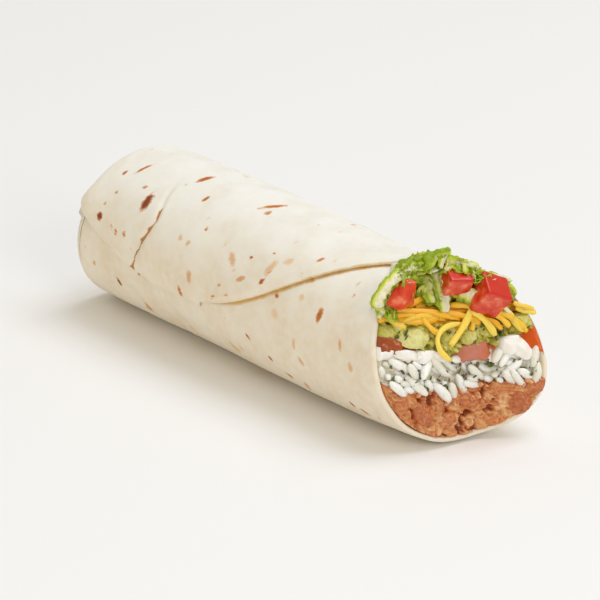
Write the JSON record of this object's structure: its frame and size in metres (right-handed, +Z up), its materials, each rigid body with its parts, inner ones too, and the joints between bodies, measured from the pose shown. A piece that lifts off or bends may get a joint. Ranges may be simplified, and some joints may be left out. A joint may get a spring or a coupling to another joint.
{
  "type": "burrito",
  "caption": "Burrito in a soft flour tortilla, closed at the rear and open at the front over layered beans, rice, sour cream, red sauce, guacamole, cheese, lettuce and tomato.",
  "frame": {"origin": "middle of the bounding box's base, on the surface the burrito rests on", "axes": "+X along the burrito towards its open end, +Y away from the seam side, +Z up"},
  "size_m": [0.1996, 0.0622, 0.0625],
  "materials": {
    "tortilla": "soft, dry, floury, with scorch marks",
    "beans": "moist, lumpy",
    "rice": "moist grains",
    "sour_cream": "smooth, moist",
    "red_sauce": "wet, glossy",
    "guacamole": "moist, chunky",
    "cheese": "waxy shreds",
    "lettuce": "crisp, moist shreds",
    "tomato": "wet"
  },
  "bodies": {
    "root": {"tortilla": "tortilla", "beans": "beans", "rice": "rice", "sour_cream": "sour_cream", "red_sauce": "red_sauce", "guacamole": "guacamole", "cheese": "cheese", "lettuce": "lettuce", "tomato_left": "tomato", "tomato_middle": "tomato", "tomato_right": "tomato"}
  },
  "joints": []
}
